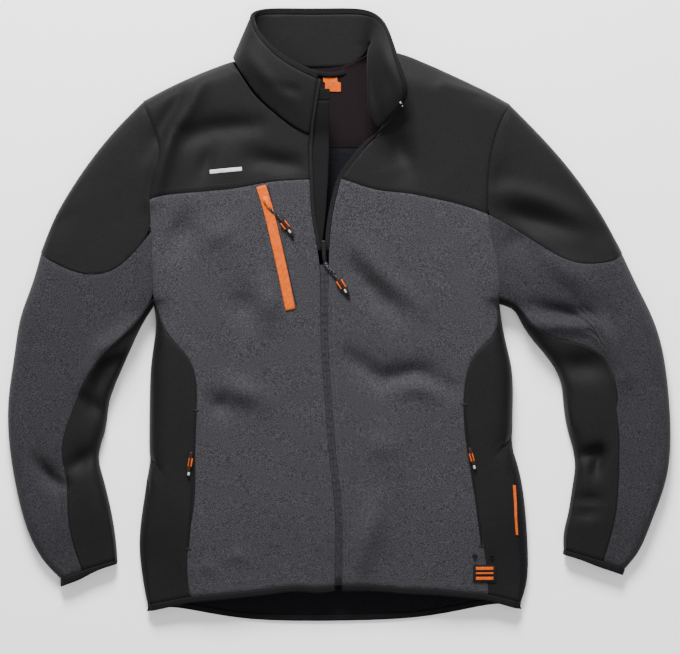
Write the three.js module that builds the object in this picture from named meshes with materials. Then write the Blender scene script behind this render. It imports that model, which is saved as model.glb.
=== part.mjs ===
// Softshell jacket, laid flat on its back with the front zip open to the chest
// Millimetres. X runs to the wearer's left, Y to the collar, Z up from the floor.
import * as THREE from "three";

// Driving dimensions
const WALL = 1.8; // softshell cloth, knit face and fleece back together
const BOUND = 3.0; // turned and bound edges of cuff, hem and collar
const GAP = 0.18; // each panel stands this far back from its seam line
const ROLL = 20; // how far the cloth takes to turn over at a folded side
const ARC = 33; // cloth in the turn on the upper side
const UNDER_ARC = 24; // cloth in the turn on the lower side
const SIDE_ROWS = 20; // rows down the side of the body
const OPEN_ROWS = 6; // rows down the open part of the front edge below the yoke
const SLEEVE_ROWS = 16;

const KNIT = { color: 0x45444a, roughness: 0.9, metalness: 0 };
const SHELL = { color: 0x242426, roughness: 0.7, metalness: 0 };
const BINDING = { color: 0x1c1b1d, roughness: 0.65, metalness: 0 };
const ORANGE = { color: 0xf26b30, roughness: 0.5, metalness: 0 };
const ZIP = { color: 0x1b1b1d, roughness: 0.55, metalness: 0 };
const METAL = { color: 0x3a3a3c, roughness: 0.35, metalness: 0.8 };

const jacket = new THREE.Group();
jacket.name = "softshell_jacket";

// How high the upper cloth lies: place x, y, reach, height
const LOFT = [
  [-130, 60, 90, 40], [110, 60, 90, 40], [-10, -150, 110, 37],
  [-110, -280, 80, 31], [110, -280, 80, 31],
  [-100, -360, 45, 19], [0, -365, 45, 20], [100, -360, 45, 19],
  [-235, -370, 40, 15], [225, -365, 40, 15],
  [-210, 250, 60, 34], [190, 250, 60, 34],
  [-70, 240, 45, 37], [45, 240, 45, 40], [-20, 120, 50, 40],
  [-300, 150, 60, 33], [290, 150, 60, 33],
  [-340, 10, 60, 34], [330, 10, 60, 34],
  [-375, -120, 60, 31], [370, -120, 60, 31],
  [-370, -230, 50, 26], [365, -230, 50, 26],
  [-330, -335, 32, 15], [335, -325, 32, 15],
];

// The main folds: start x, y, middle x, y, end x, y, half width, height
const FOLDS = [
  // right front yoke
  [-179, 304, -216, 236, -240, 150, 16, 5],
  [-209, 226, -164, 244, -106, 246, 20, -6],
  [-120, 202, -85, 193, -50, 196, 16, -4],
  // left front yoke and cap
  [70, 236, 86, 205, 97, 178, 18, -6],
  [206, 194, 214, 172, 218, 150, 13, -5],
  [202, 137, 236, 126, 300, 108, 15, -8],
  [212, 108, 232, 97, 252, 82, 14, -5],
  [270, 74, 300, 52, 330, 30, 20, 5],
  // left sleeve
  [248, 10, 300, 0, 350, -7, 14, -8],
  [240, -18, 300, -14, 345, -22, 12, 4],
  [343, -26, 358, -50, 370, -88, 14, 5],
  [286, -60, 315, -68, 342, -64, 14, -6],
  [300, -182, 345, -178, 332, -212, 13, -9],
  [300, -240, 326, -243, 350, -238, 11, -4],
  // right sleeve
  [-250, -10, -312, -40, -334, -98, 16, 6],
  [-398, -190, -374, -216, -350, -224, 13, -8],
  [-334, -110, -318, -118, -300, -134, 13, -6],
  [-358, -202, -340, -192, -312, -176, 13, -7],
  // right front
  [-194, 130, -202, 108, -212, 84, 17, -6],
  [-132, 32, -124, 10, -116, -14, 18, -4],
  [-97, 45, -90, 15, -84, -15, 16, 3],
  [-146, -90, -122, -100, -98, -113, 18, 5],
  [-170, -110, -156, -120, -140, -127, 15, -4],
  // left front
  [-2, 80, 38, 36, 80, -2, 19, -7],
  [0, -50, 56, -92, 102, -74, 20, -7],
  [98, -73, 124, -78, 150, -99, 17, -5],
  [54, -240, 36, -290, 24, -346, 20, 4],
];

const mix = (a, b, f) => a + (b - a) * f;
const clamp = (v, a, b) => Math.min(b, Math.max(a, v));
const gap2 = (a, b) => Math.hypot(a[0] - b[0], a[1] - b[1]);

// A smooth line through named points, cut by arc length between any two of them
class Line {
  constructor(points) {
    const curve = new THREE.CatmullRomCurve3(
      points.map(([x, y]) => new THREE.Vector3(x, y, 0)), false, "centripetal");
    this.fine = curve.getPoints(12 * (points.length - 1)).map((p) => [p.x, p.y]);
    this.run = [0];
    for (let i = 1; i < this.fine.length; i++) {
      this.run.push(this.run[i - 1] + gap2(this.fine[i], this.fine[i - 1]));
    }
  }
  knot(i) {
    return this.run[12 * i];
  }
  at(s) {
    let i = 1;
    while (i < this.run.length - 1 && this.run[i] < s) i++;
    const f = (s - this.run[i - 1]) / (this.run[i] - this.run[i - 1]);
    return [0, 1].map((k) => mix(this.fine[i - 1][k], this.fine[i][k], f));
  }
  part(from, to, shares) {
    const a = this.knot(from);
    const b = this.knot(to);
    return shares.map((f) => this.at(mix(a, b, f)));
  }
}

// Even shares, and shares that are close together where a line leaves a folded side
const even = (n) => Array.from({ length: n + 1 }, (_, i) => i / n);
function inset(w) {
  const [arc, sign] = w < 0 ? [UNDER_ARC, -w] : [ARC, w];
  return sign < arc ? ROLL * (1 - Math.cos((sign / arc) * Math.PI / 2)) : ROLL + sign - arc;
}
const arcOf = (d, arc = ARC) =>
  d < ROLL ? arc * Math.acos(1 - d / ROLL) / (Math.PI / 2) : arc + d - ROLL;
function rolled(length, n, turn = 3) {
  const first = even(turn).map((f) => inset(f * ARC));
  const rest = even(n - turn).slice(1).map((f) => mix(ROLL, length, f));
  return [...first, ...rest].map((d) => d / length);
}

// Rows down the side, closer together at the armpit
const DOWN_SIDE = [0, 0.012, 0.03, ...even(SIDE_ROWS - 3).map((f) => mix(0.06, 1, f))];

// Seam lines and outlines of one half of the jacket, wearer's right and wearer's left
const RIGHT = {
  shoulder: [[-139, 330], [-200, 306], [-242, 285], [-256, 277]],
  sleeveTop: [[-256, 277], [-295, 239], [-329, 196], [-366, 137], [-389, 80]],
  sleeveOut: [[-389, 80], [-400, 40], [-417, -5], [-423, -50], [-432, -112], [-432, -150],
    [-426, -203], [-406, -285], [-384, -326], [-364, -345]],
  sleeveIn: [[-241, 11], [-252, -5], [-273, -49], [-288, -86], [-301, -114], [-302, -137],
    [-307, -166], [-317, -178], [-310, -203], [-296, -260], [-291, -294], [-289, -320]],
  bodySide: [[-241, 11], [-238, -14], [-246, -67], [-248, -130], [-249, -205], [-255, -244],
    [-261, -300], [-255, -354], [-250, -379]],
  armhole: [[-256, 277], [-244, 251], [-234, 226], [-236, 196], [-244, 172], [-246, 149],
    [-244, 107], [-242, 60], [-241.2, 19], [-241, 11]],
  backArmhole: [[-256, 277], [-250, 245], [-247, 217], [-246, 107], [-244, 60], [-241.3, 27]],
  yokeSeam: [[-246, 149], [-230, 154], [-200, 157], [-135, 163], [-87, 172], [-38, 175]],
  capSeam: [[-389, 80], [-372, 67], [-349, 55], [-312, 46], [-282, 62], [-255, 91], [-244, 107]],
  underSeam: [[-241.2, 19], [-262, -8], [-292, -39], [-324, -74], [-346, -124], [-362, -175],
    [-354, -215], [-353, -266], [-347, -300], [-335, -334]],
  sideSeam: [[-241.2, 19], [-235, 3], [-227, -21], [-193, -59], [-185, -84], [-187, -174],
    [-187, -240], [-195, -290], [-198, -333], [-194, -368]],
  neck: [[-139, 330], [-125, 307], [-108, 282], [-88, 265], [-56, 240], [-38, 233]],
  yokeFront: [[-38, 233], [-39.5, 212], [-38, 175]],
  front: [[-38, 175], [-36, 131], [-30, 96], [-25, 64], [-23, -34], [-19, -101], [-15, -155],
    [-10, -209], [-4.5, -262], [-5, -353]],
  hem: [[-194, -368], [-103, -359], [-50, -353], [-30, -356], [-5, -353]],
  cuffEnd: [[-363, -356], [-337, -346], [-314, -334], [-289, -326]],
  corner: [-248, -388],
  // how far onto the front the back panel reaches down the side: y, distance
  wrap: [[11, -16], [-160, -16], [-209, 0.5], [-244, 10], [-320, 9], [-386, 5]],
  joint: 2, // rows between the yoke seam and the cap seam on the armhole
};
const LEFT = {
  shoulder: [[48, 348], [88, 338], [131, 319], [192, 291], [224, 273]],
  sleeveTop: [[224, 273], [262, 235], [304, 188], [337, 140], [370, 79]],
  sleeveOut: [[370, 79], [391, 34], [411, -6], [423, -47], [431, -112], [433, -160],
    [429, -211], [407, -274], [389, -317], [374, -332]],
  sleeveIn: [[209, 13], [228, 9], [240, -18], [265, -49], [288, -80], [293, -128], [302, -168],
    [309, -184], [303, -233], [299, -262], [290, -296], [293, -307]],
  bodySide: [[209, 13], [215, -26], [227, -74], [227, -140], [227, -172], [238, -214],
    [246, -289], [246, -350], [238, -376]],
  armhole: [[224, 273], [213, 257], [204, 237], [196, 200], [193.5, 165], [194, 130],
    [199, 95], [207, 61], [208.7, 21], [209, 13]],
  backArmhole: [[224, 273], [212, 245], [206, 217], [199, 130], [204, 70], [208.4, 29]],
  yokeSeam: [[194, 130], [158, 142], [123, 150], [88, 157], [49, 161], [3, 176]],
  capSeam: [[370, 79], [355, 68], [333, 62], [300, 65], [258, 91], [213, 122], [194, 130]],
  underSeam: [[208.7, 21], [230, 17], [248, -12], [275, -31], [318, -39], [347, -57],
    [362, -95], [365, -170], [361, -262], [345, -322]],
  sideSeam: [[208.7, 21], [207, 0], [207, -22], [175, -53], [164, -85], [163, -149],
    [172, -209], [186, -289], [192, -324], [195, -365]],
  neck: [[48, 348], [43, 330], [41, 300], [41, 270], [44, 250], [54, 236]],
  yokeFront: [[54, 236], [27, 208], [3, 176]],
  front: [[3, 176], [-6, 140], [-11, 107], [-13, 64], [-14, -34], [-10, -101], [-6, -155],
    [-1, -209], [4.5, -262], [4, -353]],
  hem: [[195, -365], [137, -359], [79, -356], [48, -353], [4, -353]],
  cuffEnd: [[371, -341], [354, -335], [336, -329], [311, -319], [292, -314]],
  corner: [235, -385],
  wrap: [[11, -16], [-130, -16], [-171, 0.5], [-216, 10], [-277, 13], [-330, 11], [-376, 5]],
  joint: 0,
};
const BACK_NECK = [[-139, 330], [-108, 324.4], [-50, 322.4], [-5, 322.9], [32, 323.4], [48, 348]];
const BACK_DROP = 23; // the back hem hangs lower in the middle

for (const half of [RIGHT, LEFT]) {
  half.line = {};
  for (const [name, points] of Object.entries(half)) {
    if (Array.isArray(points) && Array.isArray(points[0]) && points[0].length === 2
      && name !== "wrap") half.line[name] = new Line(points);
  }
}

// Folded sides: their fine lines, with the side on which the outside lies
const SIDES = [];
for (const [half, hand] of [[RIGHT, 1], [LEFT, -1]]) {
  for (const [names, turn] of [
    [["shoulder", "sleeveTop", "sleeveOut"], hand], [["sleeveIn"], -hand], [["bodySide"], hand],
  ]) {
    for (const name of names) SIDES.push([half.line[name].fine, turn]);
  }
}
// the turn runs on past the bindings
SIDES.push([[[-364, -345], [-362, -360]], 1], [[[-289, -320], [-288, -330]], -1]);
SIDES.push([[[374, -332], [370, -345]], -1], [[[293, -307], [291, -318]], 1]);
SIDES.push([[[-250, -379], [-247, -392]], 1], [[[238, -376], [234, -389]], -1]);

// How far a place is from the nearest folded side, and the way out to it
function nearSide(x, y) {
  let best = 1e9;
  const hits = [];
  for (const [line, turn] of SIDES) {
    for (let i = 1; i < line.length; i++) {
      const [ax, ay] = line[i - 1];
      const dx = line[i][0] - ax;
      const dy = line[i][1] - ay;
      const f = clamp(((x - ax) * dx + (y - ay) * dy) / (dx * dx + dy * dy), 0, 1);
      const px = ax + f * dx;
      const py = ay + f * dy;
      const d = Math.hypot(x - px, y - py);
      if (d > best + 0.4) continue;
      best = Math.min(best, d);
      const long = Math.hypot(dx, dy);
      hits.push([d, (turn * dy) / long, (-turn * dx) / long, px - x, py - y]);
    }
  }
  const out = [0, 0];
  for (const [d, nx, ny, ox, oy] of hits) {
    if (d > best + 0.3) continue;
    const direct = d > 0.6 ? 1 / d : 0;
    out[0] += direct ? ox * direct : nx;
    out[1] += direct ? oy * direct : ny;
  }
  const long = Math.hypot(...out) || 1;
  return { d: best < 0.02 ? 0 : best, out: [out[0] / long, out[1] / long] };
}

function loft(x, y) {
  let sum = 0;
  let all = 1e-9;
  for (const [px, py, reach, h] of LOFT) {
    const w = Math.exp(-((x - px) ** 2 + (y - py) ** 2) / (2 * reach * reach));
    sum += w * h;
    all += w;
  }
  return sum / all;
}
const foldLines = FOLDS.map(([ax, ay, bx, by, cx, cy, half, high]) => {
  const points = even(10).map((t) => [
    (1 - t) ** 2 * ax + 2 * t * (1 - t) * bx + t * t * cx,
    (1 - t) ** 2 * ay + 2 * t * (1 - t) * by + t * t * cy]);
  return { points, half, high };
});
function foldAt(x, y) {
  let sum = 0;
  for (const { points, half, high } of foldLines) {
    let near = 1e9;
    let along = 0;
    for (let i = 1; i < points.length; i++) {
      const [ax, ay] = points[i - 1];
      const dx = points[i][0] - ax;
      const dy = points[i][1] - ay;
      const f = clamp(((x - ax) * dx + (y - ay) * dy) / (dx * dx + dy * dy), 0, 1);
      const d = Math.hypot(x - ax - f * dx, y - ay - f * dy);
      if (d < near) [near, along] = [d, (i - 1 + f) / 10];
    }
    if (near >= half) continue;
    const taper = Math.min(1, 5 * along * (1 - along) + 0.15);
    sum += high * taper * 0.5 * (1 + Math.cos((Math.PI * near) / half));
  }
  return sum;
}

// The outer cloth over a place: side 1 above, -1 below
function skin(x, y, side = 1) {
  const { d, out } = nearSide(x, y);
  const base = loft(x, y);
  const mid = 0.33 * base;
  const reach = 0.5 * base;
  const c = 1 - Math.min(d, reach) / reach;
  const s = Math.sqrt(1 - c * c);
  if (side < 0) {
    const n = new THREE.Vector3((out[0] * c) / reach, (out[1] * c) / reach, -s / mid);
    return { p: new THREE.Vector3(x, y, mid * (1 - s)), n: n.normalize() };
  }
  const high = (a, b) => loft(a, b) + foldAt(a, b);
  const top = Math.max(mid + 4, high(x, y));
  const gx = (high(x + 1, y) - high(x - 1, y)) / 2;
  const gy = (high(x, y + 1) - high(x, y - 1)) / 2;
  const a = top - mid;
  const n = new THREE.Vector3(
    (out[0] * c) / reach - (gx * s) / a, (out[1] * c) / reach - (gy * s) / a, s / a);
  return { p: new THREE.Vector3(x, y, mid + a * s), n: n.normalize() };
}

// A closed body from a grid of outer points and their normals
function addShell(name, grid, look, wall = WALL, open = GAP) {
  const rows = grid.length;
  const cols = grid[0].length;
  const same = (a, b) => a.p.distanceTo(b.p) < 1e-6;
  const flatRow = (row) => row.every((q) => same(q, row[0]));
  const p = grid.map((row) => row.map((q) => q.p.clone()));
  // every edge point stands back square to its edge
  const pull = (j, i, jj, ii, before, after) => {
    const here = grid[j][i].p;
    const along = grid[after[0]][after[1]].p.clone().sub(grid[before[0]][before[1]].p).normalize();
    const step = grid[jj][ii].p.clone().sub(here);
    const far = step.length();
    if (far < 1e-6) return;
    step.addScaledVector(along, -step.dot(along));
    if (step.length() > 1e-6) p[j][i].add(step.setLength(Math.min(open, far / 3)));
  };
  const [endRow, endCol] = [rows - 1, cols - 1];
  for (let j = 0; j < rows; j++) {
    const [a, b] = [Math.max(j - 1, 0), Math.min(j + 1, endRow)];
    pull(j, 0, j, 1, [a, 0], [b, 0]);
    pull(j, endCol, j, endCol - 1, [a, endCol], [b, endCol]);
  }
  for (let i = 0; i < cols; i++) {
    const [a, b] = [Math.max(i - 1, 0), Math.min(i + 1, endCol)];
    if (!flatRow(grid[0])) pull(0, i, 1, i, [0, a], [0, b]);
    if (!flatRow(grid[endRow])) pull(endRow, i, endRow - 1, i, [endRow, a], [endRow, b]);
  }
  for (const j of [0, rows - 1]) {
    if (!flatRow(grid[j])) continue;
    const step = new THREE.Vector3();
    const next = j ? rows - 2 : 1;
    grid[next].forEach((q) => step.add(q.p.clone().sub(grid[j][0].p)));
    step.setLength(open);
    p[j] = grid[j].map((q) => q.p.clone().add(step));
  }
  const points = [];
  p.forEach((row) => row.forEach((q) => points.push(q)));
  p.forEach((row, j) => row.forEach((q, i) =>
    points.push(q.clone().addScaledVector(grid[j][i].n, -wall))));
  const id = (j, i) => j * cols + i;
  const under = rows * cols;
  const faces = [];
  const tri = (a, b, c) => {
    if (points[a].distanceTo(points[b]) < 1e-5 || points[b].distanceTo(points[c]) < 1e-5
      || points[a].distanceTo(points[c]) < 1e-5) return;
    faces.push(a, b, c);
  };
  for (let j = 0; j + 1 < rows; j++) {
    for (let i = 0; i + 1 < cols; i++) {
      const [a, b, c, d] = [id(j, i), id(j, i + 1), id(j + 1, i + 1), id(j + 1, i)];
      const [m, n, o, q] = [a, b, c, d].map((v) => v + under);
      if (points[a].distanceTo(points[c]) <= points[b].distanceTo(points[d])) {
        tri(a, c, b); tri(a, d, c); tri(m, n, o); tri(m, o, q);
      } else {
        tri(a, d, b); tri(b, d, c); tri(m, n, q); tri(n, o, q);
      }
    }
  }
  const rim = (a, b) => {
    tri(a, b, b + under);
    tri(a, b + under, a + under);
  };
  for (let i = 0; i + 1 < cols; i++) {
    rim(id(0, i), id(0, i + 1));
    rim(id(rows - 1, i + 1), id(rows - 1, i));
  }
  for (let j = 0; j + 1 < rows; j++) {
    rim(id(j + 1, 0), id(j, 0));
    rim(id(j, cols - 1), id(j + 1, cols - 1));
  }
  return addMesh(name, points, faces, look);
}

function addMesh(name, points, faces, look) {
  let volume = 0;
  for (let k = 0; k < faces.length; k += 3) {
    const [a, b, c] = [points[faces[k]], points[faces[k + 1]], points[faces[k + 2]]];
    volume += a.dot(b.clone().cross(c));
  }
  if (volume < 0) faces = faces.slice().reverse();
  const used = [...new Set(faces)];
  const place = new Map(used.map((v, k) => [v, k]));
  const geometry = new THREE.BufferGeometry();
  geometry.setAttribute("position", new THREE.Float32BufferAttribute(
    used.flatMap((v) => points[v].toArray()), 3));
  geometry.setIndex(faces.map((v) => place.get(v)));
  geometry.computeVertexNormals();
  const mesh = new THREE.Mesh(geometry, new THREE.MeshStandardMaterial(look));
  mesh.name = name;
  jacket.add(mesh);
  return mesh;
}

// A patch between four sides that are already cut into points
function patch(top, bottom, left, right) {
  const share = (line) => {
    const run = [0];
    for (let i = 1; i < line.length; i++) run.push(run[i - 1] + gap2(line[i], line[i - 1]));
    const all = run[run.length - 1];
    return all < 1e-6 ? even(line.length - 1) : run.map((v) => v / all);
  };
  const [tu, bu, lv, rv] = [top, bottom, left, right].map(share);
  const n = top.length - 1;
  const m = left.length - 1;
  return left.map((_, j) => top.map((__, i) => {
    const u = mix(tu[i], bu[i], mix(lv[j], rv[j], i / n));
    const v = mix(lv[j], rv[j], mix(tu[i], bu[i], j / m));
    return [0, 1].map((k) => (1 - v) * top[i][k] + v * bottom[i][k]
      + (1 - u) * left[j][k] + u * right[j][k]
      - (1 - u) * (1 - v) * top[0][k] - u * (1 - v) * top[n][k]
      - (1 - u) * v * bottom[0][k] - u * v * bottom[n][k]);
  }));
}
const on = (plan, side) => plan.map((row) => row.map(([x, y]) => [x, y, side]));
const join = (a, b) => a.map((row, j) => [...row, ...b[j].slice(1)]);
const lift = (plan) => plan.map((row) => row.map(([x, y, side]) => skin(x, y, side)));
const flip = (plan) => plan.map((row) => row.slice().reverse());

// Reads a short table of y and value, smoothly between its rows
function read(table, y) {
  const down = table[0][0] > table[table.length - 1][0];
  const rows = down ? table : table.slice().reverse();
  if (y >= rows[0][0]) return rows[0][1];
  for (let i = 1; i < rows.length; i++) {
    if (y >= rows[i][0]) {
      const f = (rows[i - 1][0] - y) / (rows[i - 1][0] - rows[i][0]);
      return mix(rows[i - 1][1], rows[i][1], f * f * (3 - 2 * f));
    }
  }
  return rows[rows.length - 1][1];
}

// A place on a row that starts at a folded side and goes toward a seam
function onRow(edge, toward, w) {
  const long = gap2(edge, toward);
  const d = inset(w);
  return [
    edge[0] + ((toward[0] - edge[0]) * d) / long,
    edge[1] + ((toward[1] - edge[1]) * d) / long, w < 0 ? -1 : 1];
}
const steps = (a, b, n) => even(n).map((f) => mix(a, b, f));
// Places across a piece that turns over a folded side, one of them on the fold
function turning(back, front, under, above) {
  if (back > -3) return steps(back, front, under + above);
  return [...steps(back, 0, under), ...steps(0, front, above).slice(1)];
}

function addHalf(half, hand) {
  const { line } = half;
  const low = 6 - half.joint; // armhole rows from the cap seam to the armpit gusset
  const arm = {
    yoke: line.armhole.part(0, 5, rolled(line.armhole.knot(5), 8)),
    joint: half.joint ? line.armhole.part(5, 6, even(half.joint)) : [half.armhole[5]],
    low: line.armhole.part(half.joint ? 6 : 5, 8, even(low)),
  };
  const back = {
    yoke: line.backArmhole.part(0, 2, rolled(line.backArmhole.knot(2), 4)),
    mid: line.backArmhole.part(2, 3, even(3)),
    low: line.backArmhole.part(3, 5, even(3)),
  };
  const armpit = half.armhole[9];
  const gusset = half.armhole[8];
  back.low[3] = onRow(armpit, gusset, -arcOf(16, UNDER_ARC)).slice(0, 2);
  half.back = back;

  // Front yoke, from the shoulder and neck down to its seam
  const yokeSeam = line.yokeSeam.part(0, 5, even(13));
  // the left neck seam turns inward at the zip, so there it is part of the front side
  const right = hand > 0;
  const shoulder = line.shoulder.part(0, half.shoulder.length - 1, even(right ? 5 : 13)).reverse();
  const neck = line.neck.part(0, 5, even(right ? 8 : 4));
  const opening = line.yokeFront.part(0, 2, even(right ? 8 : 4));
  const yokeTop = right ? [...shoulder, ...neck.slice(1)] : shoulder;
  const yokeFront = right ? opening : [...neck, ...opening.slice(1)];
  addPanel(`front_yoke_${half.side}`, on(patch(yokeTop, yokeSeam, arm.yoke, yokeFront), 1), SHELL);

  // Lower front in grey knit
  const sideSeam = line.sideSeam.part(0, 9, DOWN_SIDE);
  const frontLeft = [...arm.joint, ...arm.low.slice(1), ...sideSeam.slice(1)];
  const frontRight = [
    ...line.front.part(0, 3, even(OPEN_ROWS)), ...line.front.part(3, 9, even(SIDE_ROWS)).slice(1)];
  const hem = line.hem.part(0, 4, even(13));
  const front = on(patch(yokeSeam, hem, frontLeft, frontRight), 1);
  addPanel(`front_lower_${half.side}`, front, KNIT);

  // Side panel, which turns under to the back seam
  const bodySide = line.bodySide.part(0, 8, DOWN_SIDE);
  const backPlaces = bodySide.map((edge) => {
    const e = read(half.wrap, edge[1]);
    return e > 0 ? arcOf(e) : -arcOf(-e, UNDER_ARC);
  });
  const sidePlan = bodySide.map((edge, j) => {
    const wide = arcOf(gap2(edge, sideSeam[j]) - (j < 5 ? 0.7 : 0));
    return turning(backPlaces[j], wide, 3, 5).map((w) => onRow(edge, sideSeam[j], w));
  });
  half.sideGrid = addPanel(`side_panel_${half.side}`, sidePlan, SHELL);
  half.backRows = bodySide.map((edge, j) => {
    const inner = -(UNDER_ARC + 14);
    const w = backPlaces[j];
    const places = w > 3 ? [...steps(w, 0, 2), ...steps(0, inner, 2).slice(1)] : steps(w, inner, 4);
    return places.map((v) => onRow(edge, sideSeam[j], v));
  });

  // Sleeve cap, a fan from the armhole to where its seam turns over the outer fold
  const outTop = line.sleeveTop.part(0, 4, [0, 0.2, 0.4, 0.59, 0.77, 0.88, 0.95, 1]);
  const capRoll = rolled(line.capSeam.knot(6), 7).map((f) => 1 - f).reverse();
  const capSeam = line.capSeam.part(0, 6, capRoll.map((f) => 1 - f).reverse());
  const capDown = capSeam.slice().reverse();
  const knee = half.capSeam[0];
  const backCap = new Line([...half.capSeam.slice(0, -1), half.backArmhole[3]]);
  const backSeam = backCap.part(0, 6, rolled(backCap.knot(6), 7)).reverse();
  const armTop = [...arm.yoke, ...arm.joint.slice(1)].reverse();
  const armUnder = [...back.yoke, ...back.mid.slice(1)];
  const capTop = patch(armTop, armTop.map(() => knee), capDown, outTop);
  const capUnder = patch(armUnder, armUnder.map(() => knee), outTop, backSeam);
  addPanel(`sleeve_cap_${half.side}`, join(on(capTop, 1), on(capUnder, -1)), SHELL);

  // Sleeve, with a black under panel that turns under along the inner fold
  const sleeveOut = line.sleeveOut.part(0, 9, even(SLEEVE_ROWS));
  const inner = line.sleeveIn.part(0, 11, even(SLEEVE_ROWS));
  const seam = line.underSeam.part(0, 9, even(SLEEVE_ROWS));
  const underWide = inner.map((edge, j) => Math.max(16, gap2(edge, seam[j])));
  const underPlan = inner.map((edge, j) => {
    const from = -arcOf(underWide[j], UNDER_ARC);
    return turning(from, arcOf(gap2(edge, seam[j])), 3, 5).map((w) => onRow(edge, seam[j], w));
  });
  addPanel(`sleeve_under_${half.side}`, underPlan, SHELL);
  const across = (a, b, n) => {
    const long = gap2(a, b);
    const reach = 8;
    const first = even(3).map((f) => reach * (1 - Math.cos((f * Math.PI) / 2)));
    return [...first, ...even(n - 3).slice(1).map((f) => mix(reach, long, f))].map((d) =>
      [0, 1].map((k) => mix(a[k], b[k], d / long)));
  };
  const end = sleeveOut[SLEEVE_ROWS];
  const topSide = patch(
    [...capSeam, ...arm.low.slice(1)], across(end, seam[SLEEVE_ROWS], 7 + low), sleeveOut, seam);
  const backEdge = underPlan.map((row) => row[0].slice(0, 2));
  const underSide = patch(
    [...backSeam.slice().reverse(), ...back.low.slice(1)],
    across(end, backEdge[SLEEVE_ROWS], 10), sleeveOut, backEdge);
  const sleeve = join(flip(on(topSide, 1)), on(underSide, -1));
  addPanel(`sleeve_main_${half.side}`, sleeve, KNIT);

  // Cuff binding, a ring that is joined at the inner fold
  const last = underPlan[SLEEVE_ROWS];
  const ring = [...last.slice(3), ...sleeve[SLEEVE_ROWS].slice(1), ...last.slice(1, 4)];
  ring[0] = [ring[0][0], ring[0][1], 1];
  const cuffA = [sleeveOut[SLEEVE_ROWS], inner[SLEEVE_ROWS]];
  const ends = [half.cuffEnd[0], half.cuffEnd[half.cuffEnd.length - 1]];
  const wide = gap2(...cuffA);
  const cuffEnd = ring.map(([x, y, side]) => {
    const f = clamp(gap2([x, y], cuffA[0]) / wide, 0, 1);
    const q = line.cuffEnd.at(f * line.cuffEnd.knot(half.cuffEnd.length - 1));
    return f === 0 ? [...ends[0], side] : [...q, side];
  });
  addPanel(`cuff_binding_${half.side}`, [ring, cuffEnd], BINDING, BOUND, 0.45);

  // Hem binding along the front
  const sideEnd = sidePlan[SIDE_ROWS].slice().reverse();
  const frontHem = [...front[front.length - 1].slice().reverse(), ...sideEnd.slice(1)];
  const corner = half.corner;
  const edge = bodySide[SIDE_ROWS];
  const lower = frontHem.map(([x, y, side]) => {
    const f = clamp(1 - gap2([x, y], edge) / 60, 0, 1);
    const shift = [corner[0] - edge[0], corner[1] - edge[1]];
    return [x + shift[0] * f, y + mix(-8, shift[1], f), side];
  });
  addPanel(`hem_binding_front_${half.side}`, [frontHem, lower], BINDING, BOUND, 0.3);
  half.edges = { yoke: opening, front: frontRight };
}

function addPanel(name, plan, look, wall = WALL, open = GAP) {
  const grid = lift(plan);
  if (wall > WALL) {
    for (const row of grid) {
      for (const q of row) q.p.addScaledVector(q.n, 0.6 * Math.max(0, q.n.z));
    }
  }
  addShell(name, grid, look, wall, open);
  return { grid, plan };
}

RIGHT.side = "right";
LEFT.side = "left";
addHalf(RIGHT, 1);
addHalf(LEFT, -1);

// Back panel and back yoke, flat on the floor
{
  const sides = [RIGHT, LEFT].map((half) => {
    const arm = [...half.back.mid, ...half.back.low.slice(1)];
    const middle = 14 + ROLL;
    const rows = arm.map(([x, y]) => even(4).map((f) =>
      [x - Math.sign(x) * middle * f, y, -1]));
    return [...rows, ...half.backRows.slice(1)];
  });
  const all = sides[0].length - 1;
  const plan = sides[0].map((row, j) => {
    const other = sides[1][j].slice().reverse();
    const drop = BACK_DROP * (j / all) ** 4;
    const inner = even(5).slice(1, -1).map((f) => {
      const [a, b] = [row[4], other[0]];
      const lower = 1 - (2 * f - 1) ** 4;
      return [mix(a[0], b[0], f), mix(a[1], b[1], f) - drop * lower, -1];
    });
    return [...row, ...inner, ...other];
  });
  addPanel("back_panel", plan, KNIT);

  const neck = new Line(BACK_NECK);
  const top = [
    ...RIGHT.line.shoulder.part(0, 3, even(4)).reverse(),
    ...neck.part(0, 5, even(4)).slice(1),
    ...LEFT.line.shoulder.part(0, 4, even(4)).slice(1)];
  const seam = plan[0].map(([x, y]) => [x, y]);
  const yoke = patch(top, seam, RIGHT.back.yoke, LEFT.back.yoke);
  addPanel("back_yoke", on(yoke, -1), SHELL);

  const hem = plan[all];
  const lower = hem.map(([x, y, side], i) => {
    const f = Math.min(i, hem.length - 1 - i) / 4;
    const half = i < hem.length / 2 ? RIGHT : LEFT;
    const edge = half.line.bodySide.at(half.line.bodySide.knot(8));
    const g = clamp(f, 0, 1);
    return [x + (half.corner[0] - edge[0]) * (1 - g), y + mix(half.corner[1] - edge[1], -8, g), side];
  });
  addPanel("hem_binding_back", [hem, lower], BINDING, BOUND, 0.3);
}

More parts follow.
